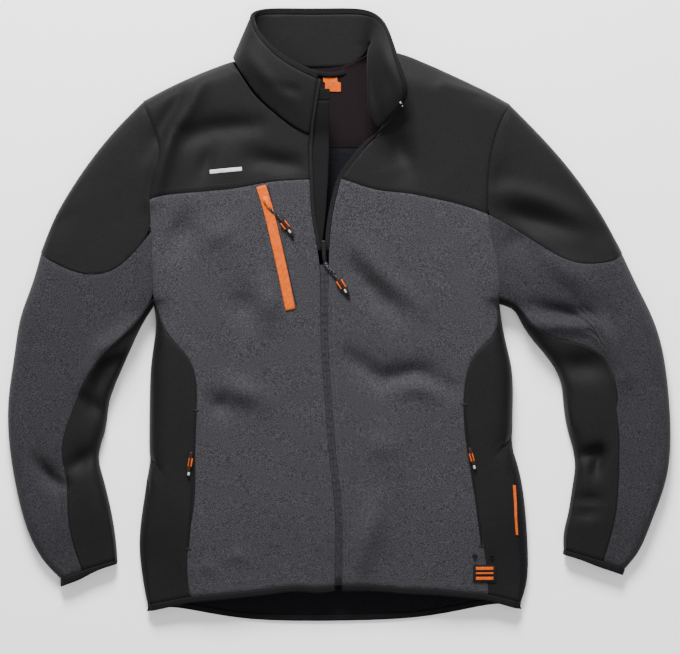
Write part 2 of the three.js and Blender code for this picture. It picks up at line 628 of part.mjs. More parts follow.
// Collar: for each station the foot x, y, z, the top edge x, y, z, and how far it bows up
const COLLAR = [
  [-39, 234, 0, -26.5, 313, 50, 3],
  [-56, 241, 0, -39, 318, 50, 4],
  [-88, 267, 0, -61, 328, 48, 5],
  [-107, 285, 0, -80.5, 341, 44, 5],
  [-123, 309, 0, -98, 359, 38, 5],
  [-133, 325, 0, -110, 377, 31, 2],
  [-137, 334, 14, -112, 391, 19, 0],
  [-129, 331, 4.5, -104, 398, 9, 0],
  [-108, 325, 1.6, -83, 400, 3.5, 0],
  [-64, 322.5, 1.6, -50.6, 399.4, 3, 0],
  [-24.6, 322.5, 1.6, -18, 399.4, 3, 0],
  [12, 324, 1.6, 14.4, 400, 3, 0],
  [27, 331, 2.5, 38, 398, 6, 0],
  [43, 353, 14, 56, 386, 30, 2],
  [37.5, 341, 31, 67, 362, 52, 4],
  [38, 310, 0, 75.5, 333, 66, 6],
  [37.5, 280, 0, 84.6, 309, 70, 7],
  [39, 256, 0, 89.8, 291, 69, 7],
  [51, 240, 0, 86, 278, 60, 5],
];
const COLLAR_ROWS = 5;
const BAND = 0.9; // the bound band takes the top tenth
const foot = COLLAR.map(([x, y, z]) => {
  if (z) return new THREE.Vector3(x, y, z);
  const over = skin(x, y).p.z;
  return new THREE.Vector3(x, y, x < 0 ? over + 0.6 : over + 2.2);
});
const middle = (shares) => COLLAR.map(([, , , x, y, z, bow], i) => shares.map((f) => {
  const q = foot[i].clone().lerp(new THREE.Vector3(x, y, z), f);
  q.z += 4 * f * (1 - f) * bow;
  return q;
}));
function band(name, shares, look, wall, open) {
  const mid = middle(shares);
  const last = mid.length - 1;
  const grid = shares.map((_, j) => mid.map((column, i) => {
    const along = mid[Math.min(i + 1, last)][j].clone().sub(mid[Math.max(i - 1, 0)][j]);
    const [a, b] = [Math.max(j - 1, 0), Math.min(j + 1, shares.length - 1)];
    const n = column[b].clone().sub(column[a]).cross(along).normalize();
    return { p: column[j].clone().addScaledVector(n, wall / 2), n };
  }));
  addShell(name, grid, look, wall, open);
  return grid;
}
const collar = band("collar", even(COLLAR_ROWS).map((f) => f * BAND), SHELL, 2.8, GAP);
band("collar_binding", [BAND, 0.95, 1], BINDING, 3.6, 0.25);

// Zip tapes along the two open front edges, from the collar top to the slider
function edgeOf(half, column, inward, hand) {
  const up = collar.map((row) => {
    const out = row[column].p.clone().sub(row[inward].p).normalize();
    return { p: row[column].p.clone().addScaledVector(row[column].n, -1.4), out, n: row[column].n };
  }).reverse().slice(0, -1);
  const plan = [...half.edges.yoke, ...half.edges.front.slice(1, OPEN_ROWS)];
  const down = plan.slice(1).map(([x, y], i) => {
    const [a, b] = [plan[i], plan[Math.min(i + 2, plan.length - 1)]];
    const long = gap2(a, b);
    const out = new THREE.Vector3((-hand * (b[1] - a[1])) / long, (hand * (b[0] - a[0])) / long, 0);
    const { p, n } = skin(x, y);
    return { p: p.addScaledVector(n, -0.9), out, n: new THREE.Vector3(0, 0, 1) };
  });
  return [...up, ...down];
}
for (const [half, column, inward, hand] of [[RIGHT, 0, 1, 1], [LEFT, 18, 17, -1]]) {
  const edge = edgeOf(half, column, inward, hand);
  const across = half === RIGHT ? [0.6, 2.4, 4.4] : [0.8, 3.2, 5.8];
  const grid = edge.map(({ p, out, n }) => across.map((d, k) => {
    const q = p.clone().addScaledVector(out, d).addScaledVector(n, k === 2 ? 1.0 : 0.3);
    return { p: q, n };
  }));
  addShell(`zip_tape_${half.side}`, grid, ZIP, 1.1, 0);
}

const top = (x, y) => skin(x, y).p.z;

// Closed zip from under the slider to the hem
const closed = RIGHT.edges.front.slice(OPEN_ROWS).map((a, j) => {
  const b = LEFT.edges.front[OPEN_ROWS + j];
  return [0.04, 0.3, 0.5, 0.7, 0.96].map((f, k) => {
    const { p, n } = skin(mix(a[0], b[0], f), mix(a[1], b[1], f));
    return { p: p.addScaledVector(n, [-0.9, -0.7, 0.1, -0.7, -0.9][k]), n };
  });
});
addShell("zip_chain", closed, ZIP, 1.2, 0);

// Storm flap behind the open zip, and the guard at its top: y, left x, right x, how far under
const FLAP = [
  [277, -33, -13, 0.5], [258, -37, -13, 0.5], [244, -40, -13, 1.1], [234.5, -41, -13, 1.6],
  [224, -42, -13, 1.1], [208, -43, -13, 0.7], [192, -43, -14, 0.7], [175, -42, -14, 0.6],
  [153, -41, -16, 0.6], [131, -41, -17, 0.6], [107, -38, -20, 0.6], [88, -34, -22, 0.6]];
const GUARD = [[292, -28.5, -12, 0.4], [285, -29, -12, 0.4], [277.6, -30, -12.5, 0.4]];
// how high the cloth edge in front of the flap is
function edgeHeight(y, x) {
  if (y < 234) return Math.min(top(x + 6, y), top(x, y)) - WALL;
  const f = (y - 234) / 79;
  return mix(foot[0].z, COLLAR[0][5], f) + 12 * f * (1 - f) - 1.4;
}
const flapAt = ([y, xa, xb, down]) => even(4).map((f) => ({
  p: new THREE.Vector3(mix(xa, xb, f), y, edgeHeight(y, xa) - down - 1.6 * f),
  n: new THREE.Vector3(0, 0, 1) }));
addShell("storm_flap", FLAP.map(flapAt), BINDING, 1.5, 0);
addShell("chin_guard", GUARD.map(flapAt), BINDING, 2.4, 0);

// A body swept along a path: each station x, y, height of its middle over the cloth,
// half width, half height
function addSweep(name, stations, look, round = 10, over = top) {
  const centre = stations.map(([x, y, up]) => new THREE.Vector3(x, y, over(x, y) + up));
  const points = [];
  const faces = [];
  stations.forEach(([, , , wide, high], i) => {
    const a = centre[Math.max(i - 1, 0)];
    const b = centre[Math.min(i + 1, centre.length - 1)];
    const along = b.clone().sub(a).normalize();
    const side = new THREE.Vector3(along.y, -along.x, 0).normalize();
    const up = side.clone().cross(along);
    for (let k = 0; k < round; k++) {
      const t = (2 * Math.PI * (k + 0.5)) / round;
      points.push(centre[i].clone().addScaledVector(side, wide * Math.cos(t))
        .addScaledVector(up, high * Math.sin(t)));
    }
  });
  for (let i = 0; i + 1 < stations.length; i++) {
    for (let k = 0; k < round; k++) {
      const [a, b] = [i * round + k, i * round + ((k + 1) % round)];
      faces.push(a, b, b + round, a, b + round, a + round);
    }
  }
  const first = points.push(centre[0]) - 1;
  const last = points.push(centre[centre.length - 1]) - 1;
  const end = (stations.length - 1) * round;
  for (let k = 0; k < round; k++) {
    const next = (k + 1) % round;
    faces.push(first, next, k, last, end + k, end + next);
  }
  return addMesh(name, points, faces, look);
}

// Main zip slider with its pull tab, cord and grip
addSweep("zip_slider", [
  [-20, 95.5, 2.2, 3.4, 1.4], [-20, 93.5, 2.3, 4.3, 1.9], [-20, 87, 2.3, 4.6, 2],
  [-19.6, 84, 2.2, 3.8, 1.7], [-19.4, 82.5, 2.1, 3, 1.3]], METAL, 12);
addSweep("zip_pull_tab", [
  [-20, 89.5, 5.4, 2.2, 0.7], [-20, 87, 5.4, 2.8, 0.8], [-19.6, 80, 4.6, 2.8, 0.8],
  [-19, 71.5, 3.4, 2.8, 0.8], [-18.6, 69, 2.9, 2, 0.7]], METAL, 8);
addSweep("zip_pull_cord", [
  [-18.3, 67.9, 2.7, 2.2, 1.1], [-16.5, 64, 2.6, 2.6, 1.3], [-11, 57, 2.6, 2.6, 1.3],
  [-5, 50.5, 2.8, 2.6, 1.3], [-2.4, 47.6, 3, 2.4, 1.2]], BINDING, 8);
addSweep("zip_pull_grip", [
  [-1.9, 46.9, 3.4, 2.4, 1.8], [-0.6, 45, 3.6, 3.6, 2.4], [4.2, 37.5, 3.6, 4, 2.6],
  [9, 30, 3.6, 3.6, 2.4], [11.4, 26, 3.5, 2.6, 2], [13, 23.6, 3.4, 1.6, 1.4]], ORANGE, 12);
addSweep("zip_box", [
  [-0.5, -342, 1.9, 3.4, 1.1], [-0.5, -344, 2.1, 4, 1.4], [-0.5, -350, 2.1, 4, 1.4],
  [-0.5, -351.5, 1.9, 3.4, 1.1]], ZIP, 8);

// Chest pocket zip band, moved out from the front panel
const CHEST = new Line([[-101, 166], [-92, 137], [-82, 95], [-72.5, 53], [-63, 6]]);
const chest = even(12).map((f) => {
  const run = CHEST.knot(4);
  const [x, y] = CHEST.at(f * run);
  const [ax, ay] = CHEST.at(Math.max(f * run - 3, 0));
  const [bx, by] = CHEST.at(Math.min(f * run + 3, run));
  const long = Math.hypot(bx - ax, by - ay);
  return [-1, 0, 1].map((k) => {
    const { p, n } = skin(x - (6.2 * k * (by - ay)) / long * -1, y + (6.2 * k * (bx - ax)) / long * -1);
    return { p: p.addScaledVector(n, 1.9), n };
  });
});
addShell("chest_zip_tape", chest, ORANGE, 1, 0);
addSweep("chest_slider", [
  [-96.2, 153, 3.9, 3, 1.2], [-95.6, 150.5, 4, 3.8, 1.5], [-94.6, 146.5, 4, 3.6, 1.5],
  [-94, 144, 3.9, 2.6, 1.1]], ORANGE, 10);
addSweep("chest_pull_tab", [
  [-95.4, 150.6, 6.6, 1.8, 0.6], [-94.6, 148.6, 6.8, 2.4, 0.7], [-92.4, 143, 6.2, 2.4, 0.7],
  [-90.6, 138.6, 4.6, 1.8, 0.6]], ORANGE, 8);
addSweep("chest_pull_cord", [
  [-89.9, 137.3, 4.2, 1.5, 0.9], [-87, 134, 3.2, 1.8, 1], [-81, 129, 2.9, 1.8, 1],
  [-76.6, 124.6, 3.1, 1.7, 1]], BINDING, 8);
addSweep("chest_pull_grip", [
  [-76, 123.9, 3.4, 2, 1.6], [-74.6, 122.2, 3.5, 3.1, 2.2], [-69.5, 115.5, 3.5, 3.4, 2.3],
  [-64.4, 108.8, 3.5, 3, 2.1], [-61, 102.5, 3.4, 2.4, 1.8], [-59, 98.8, 3.3, 1.5, 1.2]],
ORANGE, 12);

// Pulls of the hand pocket zips, which hang out of the side seams
addSweep("hand_pull_right", [
  [-191, -178.5, 2.9, 1.6, 1.2], [-191.6, -181, 3, 2.6, 2], [-194.4, -194, 3, 3, 2.2],
  [-195.6, -205, 3, 2.6, 2], [-194.8, -212, 2.9, 1.5, 1.2]], ORANGE, 10);
addSweep("hand_pull_left", [
  [169.4, -173, 2.9, 1.6, 1.2], [170, -175.5, 3, 2.6, 2], [173.4, -187, 3, 3, 2.2],
  [176, -197, 3, 2.6, 2], [177, -201, 2.9, 1.5, 1.2]], ORANGE, 10);

// Two eyelets for the hem cord
for (const [name, x, y] of [["eyelet_front", 177, -315], ["eyelet_side", 199, -315.5]]) {
  const { p, n } = skin(x, y);
  const ring = new THREE.TorusGeometry(2.5, 0.75, 6, 16);
  ring.applyQuaternion(new THREE.Quaternion().setFromUnitVectors(new THREE.Vector3(0, 0, 1), n));
  p.addScaledVector(n, 1.5);
  ring.translate(p.x, p.y, p.z);
  const mesh = new THREE.Mesh(ring, new THREE.MeshStandardMaterial(METAL));
  mesh.name = name;
  jacket.add(mesh);
}

// Hanger loop and neck label on the inside of the back yoke
const inside = () => WALL;
const plate = (name, rows, look, wall) => addShell(name, rows.map(([y, xa, xb, z]) =>
  even(3).map((f) => ({ p: new THREE.Vector3(mix(xa, xb, f), y, z), n: new THREE.Vector3(0, 0, 1) }))),
look, wall, 0);
plate("neck_label", [[309, -20.6, -2, 4], [304, -20.6, -2, 4.1], [302.5, -18, 2.5, 4.1], [291, -18, 2.5, 3.6]],
  ORANGE, 1.2);
addSweep("hanger_loop", [
  [-35, 317.4, 1.3, 3, 0.6], [-27, 315, 3.4, 3, 0.6], [-13, 312.6, 4.6, 3, 0.6],
  [1, 314.2, 3.4, 3, 0.6], [8.5, 317, 1.3, 3, 0.6]], BINDING, 8, inside);

// Orange tab in the lower left back seam, made from the side panel's own points
const tabRows = LEFT.sideGrid.plan.map((row) => row[0][1]);
const tabFrom = tabRows.findIndex((y) => y < -212);
const tabTo = tabRows.findIndex((y) => y < -270);
const tab = LEFT.sideGrid.grid.slice(tabFrom, tabTo + 1).map((row) => [0.12, 0.62].map((f) => {
  const n = row[0].n.clone().lerp(row[1].n, f).normalize();
  return { p: row[0].p.clone().lerp(row[1].p, f).addScaledVector(n, 1.6), n };
}));
addShell("side_tab", tab, ORANGE, 1, 0);

// Centre of the plan and the floor at the origin
const box = new THREE.Box3().setFromObject(jacket);
jacket.children.forEach((mesh) => mesh.geometry.translate(
  -(box.min.x + box.max.x) / 2, -(box.min.y + box.max.y) / 2, -box.min.z));

export default jacket;
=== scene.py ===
# %% [markdown]
# # A softshell jacket laid flat
# The jacket lies on its back on a pale floor, with the zip open to the chest. Its solids come from
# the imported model. Here each piece of cloth gets its softer form, its folds and its finish, and the
# sewing and the zip teeth are added.

import math

import bmesh
import bpy
import numpy as np
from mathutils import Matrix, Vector
from mathutils.bvhtree import BVHTree


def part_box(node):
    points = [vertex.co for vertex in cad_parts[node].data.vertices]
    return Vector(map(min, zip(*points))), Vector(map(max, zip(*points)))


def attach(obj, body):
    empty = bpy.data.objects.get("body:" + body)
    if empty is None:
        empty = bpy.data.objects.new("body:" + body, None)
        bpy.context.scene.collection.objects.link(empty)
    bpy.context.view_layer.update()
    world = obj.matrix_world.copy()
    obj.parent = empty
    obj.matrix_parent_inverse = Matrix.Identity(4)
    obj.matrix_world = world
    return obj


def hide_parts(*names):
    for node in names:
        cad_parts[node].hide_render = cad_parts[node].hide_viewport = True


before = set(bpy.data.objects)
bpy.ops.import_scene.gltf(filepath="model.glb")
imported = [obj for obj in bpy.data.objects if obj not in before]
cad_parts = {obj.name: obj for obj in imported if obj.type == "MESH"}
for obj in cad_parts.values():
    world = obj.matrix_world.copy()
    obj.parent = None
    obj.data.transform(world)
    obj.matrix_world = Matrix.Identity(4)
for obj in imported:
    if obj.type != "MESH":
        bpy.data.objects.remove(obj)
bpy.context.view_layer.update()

# %% [markdown]
# ## Camera
# The photograph looks straight down through a long lens, so the jacket's edges show no
# perspective. One pixel of its frame is 1.3 mm, and the frame is 680 pixels wide.

# %% Camera
MM = 0.001
PIXEL = 1.3
# the pixel that the pattern is drawn around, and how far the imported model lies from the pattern
MIDDLE_PIXEL = (338.9, 314.1)
SHIFT = (-0.25, 0.65)
FRAME_WIDTH = 680 * PIXEL * MM
SENSOR_WIDTH = 36
CAMERA_HEIGHT = 5.0
# the height above the floor at which one pixel is 1.3 mm
TRUE_HEIGHT = 0.03
# the place under the camera, in millimetres
FRAME_MIDDLE = (1.2, -16.1)


def at_pixel(px, py):
    """The place in millimetres, on the model's own axes, of a pixel of the photograph."""
    x = (px - MIDDLE_PIXEL[0]) * PIXEL + SHIFT[0]
    y = (MIDDLE_PIXEL[1] - py) * PIXEL + SHIFT[1]
    return x, y


camera_data = bpy.data.cameras.new("camera")
camera_data.lens = SENSOR_WIDTH * (CAMERA_HEIGHT - TRUE_HEIGHT) / FRAME_WIDTH
camera_data.clip_end = 50
camera = bpy.data.objects.new("camera", camera_data)
camera.location = (FRAME_MIDDLE[0] * MM, FRAME_MIDDLE[1] * MM, CAMERA_HEIGHT)
bpy.context.collection.objects.link(camera)
bpy.context.scene.camera = camera
print("lens", round(camera_data.lens, 1), "mm")

# %% [markdown]
# ## Helpers for colour and nodes
# Colours are read as sRGB hex values, and a shader wants linear ones, so one function turns them.
# Another adds a node, sets its values and joins its inputs.

# %% Helpers for materials


def linear(code):
    """An sRGB hex colour as linear red, green, blue and alpha."""
    parts = [int(code[i:i + 2], 16) / 255 for i in (1, 3, 5)]
    return [c / 12.92 if c <= 0.04045 else ((c + 0.055) / 1.055) ** 2.4 for c in parts] + [1.0]


def add_node(tree, kind, links=None, values=None, **fields):
    """Adds a node with its own fields, its sockets' values and the sockets that feed it."""
    made = tree.nodes.new(kind)
    for key, value in fields.items():
        setattr(made, key, value)
    for key, value in (values or {}).items():
        made.inputs[key].default_value = value
    for key, source in (links or {}).items():
        tree.links.new(source, made.inputs[key])
    return made


def new_material(name, shader):
    """An empty material with its surface shader set from constants, and the tree to build on."""
    made = bpy.data.materials.new(name)
    made.use_nodes = True
    tree = made.node_tree
    tree.nodes.clear()
    surface = add_node(tree, "ShaderNodeBsdfPrincipled", values=shader)
    output = add_node(tree, "ShaderNodeOutputMaterial")
    tree.links.new(surface.outputs["BSDF"], output.inputs["Surface"])
    return made, tree, surface


def speckle(tree, size_mm, detail, rough):
    """Noise whose grains are about the given size, fixed to the cloth's own place."""
    place = add_node(tree, "ShaderNodeTexCoord")
    return add_node(
        tree, "ShaderNodeTexNoise", {"Vector": place.outputs["Object"]},
        {"Scale": 1000 / size_mm, "Detail": detail, "Roughness": rough})


def blend_colours(tree, source, dark, light, low=0.35, high=0.65):
    """A ramp between two colours, driven by a pattern's value."""
    ramp = add_node(tree, "ShaderNodeValToRGB", {"Fac": source})
    ramp.color_ramp.elements[0].position = low
    ramp.color_ramp.elements[0].color = linear(dark)
    ramp.color_ramp.elements[1].position = high
    ramp.color_ramp.elements[1].color = linear(light)
    return ramp.outputs["Color"]


def raise_surface(tree, surface, height, strength, depth_mm):
    """Bump from a pattern, in millimetres of depth."""
    bump = add_node(
        tree, "ShaderNodeBump", {"Height": height},
        {"Strength": strength, "Distance": depth_mm * MM})
    tree.links.new(bump.outputs["Normal"], surface.inputs["Normal"])


print("material helpers ready")

# %% [markdown]
# ## Grey jersey knit
# The fronts, sleeves and back are a polyester jersey, knitted from yarns dyed in two greys and
# bonded to fleece. Up close it shows light and dark flecks with a fine row. The real loops are
# under 1 mm, too fine to show here, so the flecks are drawn about 1.1 mm across. In the
# photograph the sleeves read a shade darker than the fronts, so they get a darker pair of greys:
# this is painted shade on the same knit, not a darker cloth.

# %% Grey jersey knit


def jersey(name, dark, light):
    """A matte knit face, flecked between two greys."""
    made, tree, surface = new_material(
        name, {"Roughness": 0.9, "IOR": 1.46, "Specular IOR Level": 0.15,
               "Sheen Weight": 0.03, "Sheen Roughness": 0.5})
    fleck = speckle(tree, 1.1, 2.0, 0.7)
    tree.links.new(blend_colours(tree, fleck.outputs["Fac"], dark, light, 0.37, 0.63),
                   surface.inputs["Base Color"])
    raise_surface(tree, surface, fleck.outputs["Fac"], 0.35, 0.4)
    return made


grey_jersey = jersey("jersey_knit_grey", "#111112", "#3c3b3f")
# the sleeves' darker greys are painted shade on the same knit
shaded_sleeve_jersey = jersey("jersey_knit_grey_sleeve_painted_shade", "#0b0b0c", "#333236")
print(grey_jersey.name, shaded_sleeve_jersey.name)

# %% [markdown]
# ## Black softshell
# The yokes, sleeve caps, inner-arm panels, side panels and collar are a stretch woven face. It is
# smoother than the knit and a little glossy. The weave is about 0.5 mm and is drawn at 1.3 mm, one
# pixel.

# %% Black softshell


def softshell(name, dark, light, rough, gloss=0.12):
    """A smooth woven or brushed face, with a fine weave between two near-blacks."""
    made, tree, surface = new_material(
        name, {"Roughness": rough, "IOR": 1.5, "Specular IOR Level": gloss,
               "Sheen Weight": 0.03, "Sheen Roughness": 0.4})
    weave = speckle(tree, 1.3, 1.0, 0.5)
    tree.links.new(blend_colours(tree, weave.outputs["Fac"], dark, light),
                   surface.inputs["Base Color"])
    raise_surface(tree, surface, weave.outputs["Fac"], 0.3, 0.25)
    return made


black_softshell = softshell("stretch_woven_black", "#060506", "#100f10", 0.72, 0.15)
bound_edge = softshell("knitted_edge_tape", "#060607", "#0e0d0f", 0.8)
brown_fleece = softshell("brushed_fleece_brown", "#0c0709", "#191114", 0.95)
dark_fleece = softshell("brushed_fleece_navy", "#08080b", "#121217", 0.95)
print(black_softshell.name, bound_edge.name, brown_fleece.name, dark_fleece.name)

# %% [markdown]
# ## Trim finishes
# The chest zip has an orange coated tape and slider. The pulls end in dark moulded rubber with
# orange ribs and a plated tip, and the main slider is die-cast zinc with a dark coat.

# %% Trim finishes


def moulded(name, dark, light, rough, metal=0.0, size_mm=4.0, low=0.35, high=0.65):
    """A trim's finish, with slight patches of colour about size_mm across."""
    made, tree, surface = new_material(
        name, {"Roughness": rough, "Metallic": metal, "IOR": 1.5, "Specular IOR Level": 0.15})
    wear = speckle(tree, size_mm, 3.0, 0.6)
    tree.links.new(blend_colours(tree, wear.outputs["Fac"], dark, light, low, high),
                   surface.inputs["Base Color"])
    raise_surface(tree, surface, wear.outputs["Fac"], 0.2, 0.1)
    return made


orange_tape = moulded("coated_zip_tape_orange", "#a84200", "#c05200", 0.7)
orange_zinc = moulded("coated_zinc_orange", "#b84a10", "#d26a2c", 0.5)
black_zip = moulded("nylon_tape_black", "#08080a", "#141416", 0.8, 0.0, 1.5)
charcoal_coil = moulded("nylon_coil_charcoal", "#18181b", "#2c2c31", 0.6, 0.0, 1.5)
dark_zinc = moulded("coated_zinc_dark", "#0a0a0b", "#18181a", 0.45, 0.3)
silver_print = moulded("reflective_print_silver", "#9a9a9e", "#c4c4c8", 0.4)
silver_metal = moulded("nickel_plate", "#b8b8ba", "#dedee0", 0.3, 0.8)
dark_rubber = moulded("moulded_rubber_dark", "#160d0b", "#2a1a15", 0.55)
braid = moulded("braided_cord_black", "#040405", "#56565a", 0.7, 0.0, 1.6, 0.5, 0.64)
thread = moulded("polyester_thread_black", "#0d0d0e", "#1c1c1e", 0.5, 0.0, 0.8)
grey_thread = moulded("polyester_thread_grey", "#262629", "#3d3d41", 0.5, 0.0, 0.8)
print("trim finishes ready")

# %% [markdown]
# ## Folds
# A laid jacket keeps soft ridges and troughs where it bends. Each one here is a path through the
# photograph's pixels with a height in millimetres, below zero for a trough, and a width. Their
# places are seen, but a view from above gives no depth, so the heights are chosen for the look. All
# the pieces read the same folds, so a fold runs on over a seam and both sides stay together.

# %% Folds
# the share of the cloth's own height that a trough may take
DEEPEST = 0.45
# how far the cloth stays above the floor, in millimetres
LOWEST = 0.04
# the heights between which cloth goes from lying still to taking the whole fold, in millimetres
STILL_BELOW, FREE_ABOVE = 6, 13
# the height of the slight ripple that the whole upper cloth has, in millimetres
RIPPLE = 0.35
# height and width in millimetres, then the path
FOLDS = [
    (9.9, 11, [(201, 80), (190, 104), (176, 126), (165, 152), (153, 201)]),
    (-7.4, 11, [(190, 78), (178, 104), (164, 126), (153, 152)]),
    (-6.2, 11, [(178, 140), (213, 128), (257, 125)]),
    (-5.6, 10, [(213, 147), (200, 178)]),
    (-4.7, 12, [(250, 158), (300, 166)]),
    (-7.4, 20, [(392, 132), (402, 170)]),
    (-6.2, 11, [(502, 166), (498, 196)]),
    (-7.4, 12, [(494, 209), (519, 216), (567, 230)]),
    (6.2, 12, [(504, 190), (545, 200), (590, 222)]),
    (6.2, 20, [(212, 226), (226, 244)]),
    (-6.8, 14, [(188, 217), (182, 232), (178, 247)]),
    (-6.2, 16, [(243, 290), (243, 320)]),
    (6.8, 16, [(272, 286), (270, 322)]),
    (6.8, 14, [(229, 384), (260, 400)]),
    (-6.8, 12, [(211, 400), (227, 410)]),
    (3.1, 6, [(228, 560), (238, 555), (248, 560)]),
    (3.1, 6, [(201, 572), (208, 566), (214, 572)]),
    (-8.1, 16, [(345, 262), (366, 284), (397, 313)]),
    (6.2, 16, [(360, 250), (392, 286), (420, 306)]),
    (-8.1, 12, [(346, 356), (383, 380), (416, 373), (451, 388)]),
    (6.8, 11, [(400, 388), (416, 385), (436, 392)]),
    (5.6, 22, [(383, 430), (384, 462)]),
    (6.2, 16, [(378, 501), (366, 540), (358, 578)]),
    (9.3, 12, [(145, 322), (100, 350), (85, 385)]),
    (-8.1, 11, [(138, 340), (104, 366), (94, 396)]),
    (-10.5, 8, [(36, 463), (53, 482), (64, 485)]),
    (-6.2, 8, [(85, 400), (102, 414)]),
    (-6.2, 9, [(68, 468), (80, 462), (93, 451)]),
    (-8.1, 19, [(510, 230), (524, 250)]),
    (6.8, 18, [(552, 258), (588, 288)]),
    (-8.1, 10, [(532, 306), (570, 316), (606, 318)]),
    (9.3, 11, [(526, 326), (600, 321), (612, 341), (623, 378)]),
    (-8.1, 15, [(562, 366), (600, 366)]),
    (-11.2, 8, [(577, 456), (600, 452), (596, 471)]),
    (-5.0, 6, [(578, 499), (601, 500)]),
    (-5.0, 6, [(578, 514), (598, 513)]),
    (3.5, 8, [(378, 38), (386, 62), (398, 88)]),
    (-3.5, 6, [(375, 62), (374, 90), (378, 116)]),
    (3.0, 9, [(246, 52), (262, 74), (288, 98)]),
    (-2.5, 7, [(274, 86), (298, 92), (310, 82)]),
    (2.5, 8, [(276, 22), (272, 46)]),
    (-2.5, 9, [(334, 24), (330, 50)]),
    (2.5, 8, [(352, 26), (350, 52)]),
]
# the shares of its half width within which a still line holds the cloth, and past which it doesn't
HELD_SHARE, FREE_SHARE = 0.7, 1.9
# lines that lie still because something is sewn there: half width in millimetres, then the path
STILL = [
    (13, [(312, 64), (314, 140), (322, 250), (334, 420), (337, 590)]),
    (12, [(262, 180), (292, 314)]),
    (10, [(276, 205), (293, 240)]),
    (12, [(330, 240), (350, 300)]),
    (10, [(190, 452), (190, 476)]),
    (10, [(470, 445), (474, 470)]),
    (9, [(516, 478), (517, 528)]),
    (9, [(470, 552), (495, 562)]),
]


def path_gap(x, y, path):
    """How far each point is from a path, and how far along the path its nearest place is."""
    best = np.full(x.shape, 1e9)
    along = np.zeros(x.shape)
    steps = [math.dist(a, b) for a, b in zip(path, path[1:])]
    done = 0.0
    for (a, b), step in zip(zip(path, path[1:]), steps):
        dx, dy = b[0] - a[0], b[1] - a[1]
        f = np.clip(((x - a[0]) * dx + (y - a[1]) * dy) / step ** 2, 0, 1)
        gap = np.hypot(x - a[0] - f * dx, y - a[1] - f * dy)
        nearer = gap < best
        best = np.where(nearer, gap, best)
        along = np.where(nearer, (done + f * step) / sum(steps), along)
        done += step
    return best, along


def soft_step(v, low, high):
    """A smooth rise from 0 at low to 1 at high."""
    f = np.clip((v - low) / (high - low), 0, 1)
    return f * f * (3 - 2 * f)


def fold_height(x, y):
    """How far the folds lift or lower the upper cloth at places in millimetres."""
    lift = RIPPLE * np.sin(x / 17 + 1.3 * np.sin(y / 41)) * np.sin(y / 23 + 0.8 * np.sin(x / 37))
    for height, width, pixels in FOLDS:
        gap, along = path_gap(x, y, [at_pixel(*p) for p in pixels])
        # a fold has its whole height at its middle and about 0.43 of it at its ends
        fade = 0.35 + 0.65 * np.sin(np.pi * np.clip(along, 0.04, 0.96))
        lift = lift + height * fade * np.exp(-(gap / width) ** 2)
    for half_width, pixels in STILL:
        gap, _ = path_gap(x, y, [at_pixel(*p) for p in pixels])
        lift = lift * soft_step(gap, half_width * HELD_SHARE, half_width * FREE_SHARE)
    return lift


print(len(FOLDS), "folds")

# %% [markdown]
# ## Cloth
# Each piece of cloth starts as a merged copy of its solid. Its rims keep a partial crease, so two
# pieces that meet leave the fine groove of a seam, and subdivision rounds the rest. The folds then
# move the upper cloth only. The back, which lies on the floor, stays flat.

# %% Cloth
cloths = []
SUBDIVISIONS = 2
# corners closer than this are one, in metres
SAME_PLACE = 2e-5
# edges that turn more than this are a piece's rim, in radians
RIM_ANGLE = 0.9
RIM_CREASE = 0.75


def alone(piece):
    """Only this piece is selected and active, as an operator needs."""
    bpy.ops.object.select_all(action="DESELECT")
    piece.select_set(True)
    bpy.context.view_layer.objects.active = piece


def cloth(node, finish, inside=None, swell=0.25):
    """A cloth piece on its solid's form, with folds. inside is the finish of its upper face.

    Rounding draws a rim in a little, so the piece swells again, in millimetres, to meet its seams."""
    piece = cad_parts[node].copy()
    piece.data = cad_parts[node].data.copy()
    piece.name = node + "_cloth"
    piece.parent = None
    bpy.context.collection.objects.link(piece)
    shape = bmesh.new()
    shape.from_mesh(piece.data)
    bmesh.ops.remove_doubles(shape, verts=shape.verts, dist=SAME_PLACE)
    bmesh.ops.join_triangles(
        shape, faces=shape.faces, angle_face_threshold=0.6, angle_shape_threshold=1.2)
    layers = shape.edges.layers.float
    creases = layers.get("crease_edge") or layers.new("crease_edge")
    for edge in shape.edges:
        if len(edge.link_faces) == 2 and edge.calc_face_angle(0) > RIM_ANGLE:
            edge[creases] = RIM_CREASE
    shape.to_mesh(piece.data)
    shape.free()
    alone(piece)
    rounding = piece.modifiers.new("rounding", "SUBSURF")
    rounding.levels = SUBDIVISIONS
    rounding.render_levels = SUBDIVISIONS
    bpy.ops.object.modifier_apply(modifier="rounding")
    place = np.zeros(len(piece.data.vertices) * 3)
    piece.data.vertices.foreach_get("co", place)
    place = place.reshape(-1, 3)
    out = np.zeros(place.size)
    piece.data.vertices.foreach_get("normal", out)
    place += out.reshape(-1, 3) * swell * MM
    upper = soft_step(place[:, 2] / MM, STILL_BELOW, FREE_ABOVE)
    lift = fold_height(place[:, 0] / MM, place[:, 1] / MM) * upper * MM
    place[:, 2] = np.maximum(place[:, 2] + np.maximum(lift, -DEEPEST * place[:, 2]), LOWEST * MM)
    piece.data.vertices.foreach_set("co", place.ravel())
    piece.data.update()
    bpy.ops.object.shade_smooth()
    piece.data.materials.clear()
    piece.data.materials.append(finish)
    if inside:
        piece.data.materials.append(inside)
        for face in piece.data.polygons:
            face.material_index = 1 if face.normal.z > 0 else 0
    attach(piece, "garment")
    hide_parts(node)
    cloths.append(piece)
    return piece


